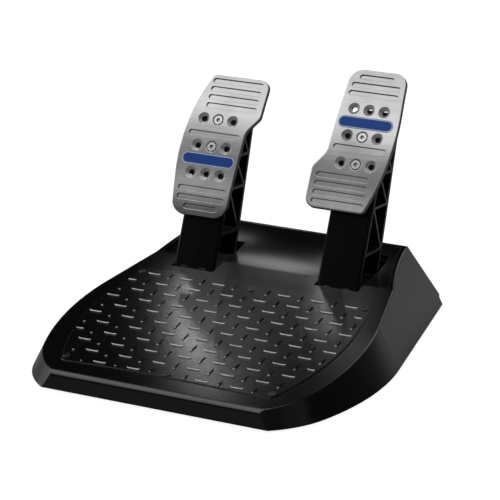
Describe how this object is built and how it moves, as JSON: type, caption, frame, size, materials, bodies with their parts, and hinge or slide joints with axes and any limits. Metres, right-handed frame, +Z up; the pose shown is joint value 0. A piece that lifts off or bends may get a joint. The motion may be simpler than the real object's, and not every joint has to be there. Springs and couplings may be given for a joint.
{
  "type": "sim racing pedal set",
  "caption": "Sim racing pedal set: wedge-shaped housing with a raised-bar tread plate, and sprung brake and throttle pedals with curved metal faces that turn sensor gears.",
  "frame": {"origin": "on the floor, at the middle of the housing's footprint", "axes": "+X to the user's right, +Y away from the user towards the pedals, +Z up"},
  "size_m": [0.2676, 0.292, 0.1921],
  "materials": {
    "housing_plastic": "fine matte texture",
    "tread_plastic": "satin with worn bright bar edges",
    "black_screws": "blackened",
    "cover_plastic": "matte",
    "cover_screws": "zinc plated",
    "feet_rubber": "matte",
    "insert_brass": "turned",
    "board_green": "solder mask",
    "board_screws": "zinc plated",
    "connector_white": "moulded nylon",
    "grommet_rubber": "matte",
    "axle_steel": "ground",
    "spring_steel": "drawn wire",
    "sensor_case": "moulded",
    "arm_plastic": "satin",
    "face_metal": "fine brushed across",
    "badge_blue": "smooth, with a pale edge",
    "face_screws": "nickel plated",
    "bush_plastic": "bearing plastic",
    "gear_nylon": "moulded nylon",
    "sensor_metal": "ground"
  },
  "bodies": {
    "base": {"top_housing": "housing_plastic", "tread_plate": "tread_plastic", "tread_plate_screws": "black_screws", "bottom_cover": "cover_plastic", "bottom_cover_screws": "cover_screws", "rubber_feet": "feet_rubber", "mounting_inserts": "insert_brass", "signal_board": "board_green", "board_screws": "board_screws", "cable_connector": "connector_white", "cable_grommet": "grommet_rubber", "brake_axle": "axle_steel", "brake_axle_caps": "cover_plastic", "brake_cap_screws": "board_screws", "brake_return_spring": "spring_steel", "brake_rest_stop": "feet_rubber", "brake_end_stop": "feet_rubber", "brake_sensor": "sensor_case", "brake_sensor_nut": "sensor_metal", "brake_sensor_terminals": "insert_brass", "throttle_axle": "axle_steel", "throttle_axle_caps": "cover_plastic", "throttle_cap_screws": "board_screws", "throttle_return_spring": "spring_steel", "throttle_rest_stop": "feet_rubber", "throttle_end_stop": "feet_rubber", "throttle_sensor": "sensor_case", "throttle_sensor_nut": "sensor_metal", "throttle_sensor_terminals": "insert_brass"},
    "brake_pedal": {"brake_arm": "arm_plastic", "brake_face_plate": "face_metal", "brake_badge": "badge_blue", "brake_face_screws": "face_screws", "brake_arm_inserts": "insert_brass", "brake_bushes": "bush_plastic", "brake_sector_gear": "gear_nylon", "brake_sector_screws": "board_screws"},
    "brake_sensor_gear": {"brake_sensor_gear": "gear_nylon", "brake_sensor_shaft": "sensor_metal"},
    "throttle_pedal": {"throttle_arm": "arm_plastic", "throttle_face_plate": "face_metal", "throttle_badge": "badge_blue", "throttle_face_screws": "face_screws", "throttle_arm_inserts": "insert_brass", "throttle_bushes": "bush_plastic", "throttle_sector_gear": "gear_nylon", "throttle_sector_screws": "board_screws"},
    "throttle_sensor_gear": {"throttle_sensor_gear": "gear_nylon", "throttle_sensor_shaft": "sensor_metal"}
  },
  "joints": [
    {"name": "brake_pedal_pivot", "type": "hinge", "parent": "base", "child": "brake_pedal", "pos_m": [-0.0613, 0.052, 0.021], "axis": [-1, 0, 0], "range_deg": [0, 17], "stiffness_Nm_per_rad": 22, "springref_deg": -6.88, "deforming": ["brake_return_spring"]},
    {"name": "brake_sensor_turn", "type": "hinge", "parent": "base", "child": "brake_sensor_gear", "pos_m": [-0.0488, 0.025, 0.021], "axis": [-1, 0, 0], "range_deg": [-49, 0]},
    {"name": "throttle_pedal_pivot", "type": "hinge", "parent": "base", "child": "throttle_pedal", "pos_m": [0.0593, 0.0583, 0.021], "axis": [-1, 0, 0], "range_deg": [0, 20], "stiffness_Nm_per_rad": 7, "springref_deg": -11.46, "deforming": ["throttle_return_spring"]},
    {"name": "throttle_sensor_turn", "type": "hinge", "parent": "base", "child": "throttle_sensor_gear", "pos_m": [0.0718, 0.0313, 0.021], "axis": [-1, 0, 0], "range_deg": [-58, 0]}
  ],
  "couplings": [
    {"joint": "brake_sensor_turn", "follows": "brake_pedal_pivot", "ratio": -2.8571},
    {"joint": "throttle_sensor_turn", "follows": "throttle_pedal_pivot", "ratio": -2.8571}
  ]
}
